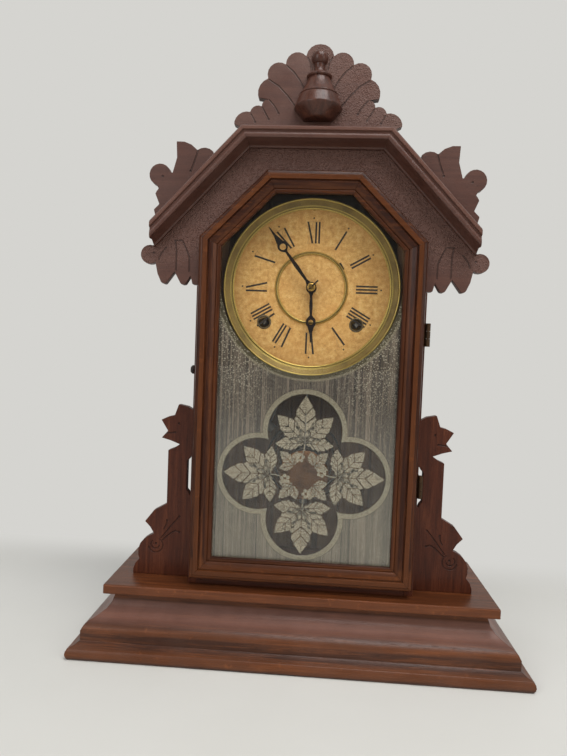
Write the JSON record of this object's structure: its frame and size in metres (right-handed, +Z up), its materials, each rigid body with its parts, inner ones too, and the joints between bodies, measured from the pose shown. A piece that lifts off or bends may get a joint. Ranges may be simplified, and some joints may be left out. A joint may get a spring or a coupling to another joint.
{
  "type": "shelf clock",
  "caption": "Shelf clock with an ogee-moulded base, glazed canted-top door, scroll-cut head with finial, dial and hands, spring-driven striking movement, pendulum and coil gong.",
  "frame": {"origin": "on the shelf under the middle of the base", "axes": "+X to the viewer's right, +Y into the clock, +Z up; the dial faces -Y"},
  "size_m": [0.4144, 0.14, 0.56],
  "materials": {
    "walnut": "carved walnut with darkened varnish",
    "walnut_light": "worn walnut, varnish rubbed thin on the edges",
    "pine": "bare softwood",
    "brass": "tarnished brass",
    "dial_paper": "aged tan paper pasted on a thin metal pan",
    "blued_steel": "dark blued steel",
    "steel": "greyed steel",
    "cast_iron": "dark cast iron",
    "glass": "old clear glass"
  },
  "bodies": {
    "case": {"case_side_left": "walnut", "case_side_right": "walnut", "case_floor": "walnut", "case_top": "walnut", "head_board": "walnut", "crest": "walnut", "finial": "walnut", "side_bracket_right": "walnut", "side_bracket_left": "walnut", "head_moulding_right": "walnut", "head_moulding_top": "walnut", "head_moulding_left": "walnut", "base_moulding_left": "walnut_light", "base_moulding_front": "walnut_light", "base_moulding_right": "walnut_light", "base_board": "walnut_light", "backboard": "pine", "dial_batten_left": "pine", "dial_batten_right": "pine", "hinge_upper_case_leaf": "brass", "hinge_lower_case_leaf": "brass", "dial_bezel": "brass", "dial_centre_ring": "brass", "front_plate": "brass", "back_plate": "brass", "dial_pan": "dial_paper", "time_mainspring": "steel", "strike_mainspring": "steel", "gong_coil": "steel", "gong_base": "cast_iron"},
    "door": {"door_rail_bottom": "walnut_light", "door_stile_right": "walnut_light", "door_slope_right": "walnut_light", "door_rail_top": "walnut_light", "door_slope_left": "walnut_light", "door_stile_left": "walnut_light", "door_glass": "glass", "hinge_upper_door_leaf": "brass", "hinge_lower_door_leaf": "brass", "door_staple": "brass"},
    "latch": {"latch": "cast_iron"},
    "minute_set": {"minute_hand": "blued_steel", "cannon_pinion": "brass"},
    "minute_wheel_set": {"minute_wheel": "brass"},
    "hour_set": {"hour_hand": "blued_steel", "hour_wheel": "brass"},
    "third_set": {"third_wheel": "brass"},
    "centre_set": {"centre_wheel": "brass"},
    "escape_set": {"escape_wheel": "brass"},
    "second_set": {"second_wheel": "brass"},
    "time_great_set": {"time_great_wheel": "brass"},
    "time_arbor_set": {"time_winding_arbor": "steel"},
    "strike_second_set": {"strike_second_wheel": "brass"},
    "strike_great_set": {"strike_great_wheel": "brass"},
    "strike_arbor_set": {"strike_winding_arbor": "steel"},
    "fly_set": {"fly": "brass"},
    "pendulum": {"pendulum_rod": "steel", "pendulum_bob": "brass"},
    "verge_set": {"verge": "steel"},
    "hammer_set": {"hammer": "steel"}
  },
  "joints": [
    {"name": "door_swing", "type": "hinge", "parent": "case", "child": "door", "pos_m": [0.1066, -0.0366, 0.25], "axis": [0, 0, 1], "range_deg": [0, 110]},
    {"name": "latch_turn", "type": "hinge", "parent": "case", "child": "latch", "pos_m": [-0.1, -0.022, 0.264], "axis": [-1, 0, 0], "range_deg": [0, 85]},
    {"name": "hands_turn", "type": "hinge", "parent": "case", "child": "minute_set", "pos_m": [0, 0.02, 0.3455], "axis": [0, 1, 0], "continuous": true},
    {"name": "minute_wheel_turn", "type": "hinge", "parent": "case", "child": "minute_wheel_set", "pos_m": [0.0072, 0.02, 0.35797], "axis": [0, 1, 0], "continuous": true},
    {"name": "hour_turn", "type": "hinge", "parent": "case", "child": "hour_set", "pos_m": [0, 0.02, 0.3455], "axis": [0, 1, 0], "continuous": true},
    {"name": "third_turn", "type": "hinge", "parent": "case", "child": "third_set", "pos_m": [0.01469, 0.02, 0.32249], "axis": [0, 1, 0], "continuous": true},
    {"name": "centre_turn", "type": "hinge", "parent": "case", "child": "centre_set", "pos_m": [0, 0.02, 0.3455], "axis": [0, 1, 0], "continuous": true},
    {"name": "escape_turn", "type": "hinge", "parent": "case", "child": "escape_set", "pos_m": [0, 0.02, 0.3079], "axis": [0, 1, 0], "continuous": true},
    {"name": "second_turn", "type": "hinge", "parent": "case", "child": "second_set", "pos_m": [0.0293, 0.02, 0.33907], "axis": [0, 1, 0], "continuous": true},
    {"name": "time_great_turn", "type": "hinge", "parent": "case", "child": "time_great_set", "pos_m": [0.044, 0.02, 0.312], "axis": [0, 1, 0], "continuous": true},
    {"name": "time_wind", "type": "hinge", "parent": "time_great_set", "child": "time_arbor_set", "pos_m": [0.044, 0.02, 0.312], "axis": [0, 1, 0], "range_deg": [0, 2520]},
    {"name": "strike_second_turn", "type": "hinge", "parent": "case", "child": "strike_second_set", "pos_m": [-0.0293, 0.02, 0.33907], "axis": [0, 1, 0], "continuous": true},
    {"name": "strike_great_turn", "type": "hinge", "parent": "case", "child": "strike_great_set", "pos_m": [-0.044, 0.02, 0.312], "axis": [0, 1, 0], "continuous": true},
    {"name": "strike_wind", "type": "hinge", "parent": "strike_great_set", "child": "strike_arbor_set", "pos_m": [-0.044, 0.02, 0.312], "axis": [0, -1, 0], "range_deg": [0, 2520]},
    {"name": "fly_turn", "type": "hinge", "parent": "case", "child": "fly_set", "pos_m": [-0.02597, 0.02, 0.35798], "axis": [0, 1, 0], "continuous": true},
    {"name": "pendulum_swing", "type": "hinge", "parent": "case", "child": "pendulum", "pos_m": [0, -0.0044, 0.3255], "axis": [0, 1, 0], "range_deg": [-4, 4]},
    {"name": "verge_rock", "type": "hinge", "parent": "case", "child": "verge_set", "pos_m": [0, 0.002, 0.3255], "axis": [0, 1, 0], "range_deg": [-4, 4]},
    {"name": "hammer_lift", "type": "hinge", "parent": "case", "child": "hammer_set", "pos_m": [-0.01, 0.02, 0.2935], "axis": [0, 1, 0], "range_deg": [0, 15]}
  ],
  "couplings": [
    {"joint": "minute_wheel_turn", "follows": "hands_turn", "ratio": -0.33333},
    {"joint": "hour_turn", "follows": "hands_turn", "ratio": 0.083333},
    {"joint": "centre_turn", "follows": "third_turn", "ratio": -0.083333},
    {"joint": "escape_turn", "follows": "third_turn", "ratio": -10.5},
    {"joint": "second_turn", "follows": "third_turn", "ratio": 0.041667},
    {"joint": "time_great_turn", "follows": "third_turn", "ratio": -0.0069444},
    {"joint": "strike_great_turn", "follows": "strike_second_turn", "ratio": -0.16667},
    {"joint": "fly_turn", "follows": "strike_second_turn", "ratio": -7},
    {"joint": "verge_rock", "follows": "pendulum_swing", "ratio": 1}
  ]
}
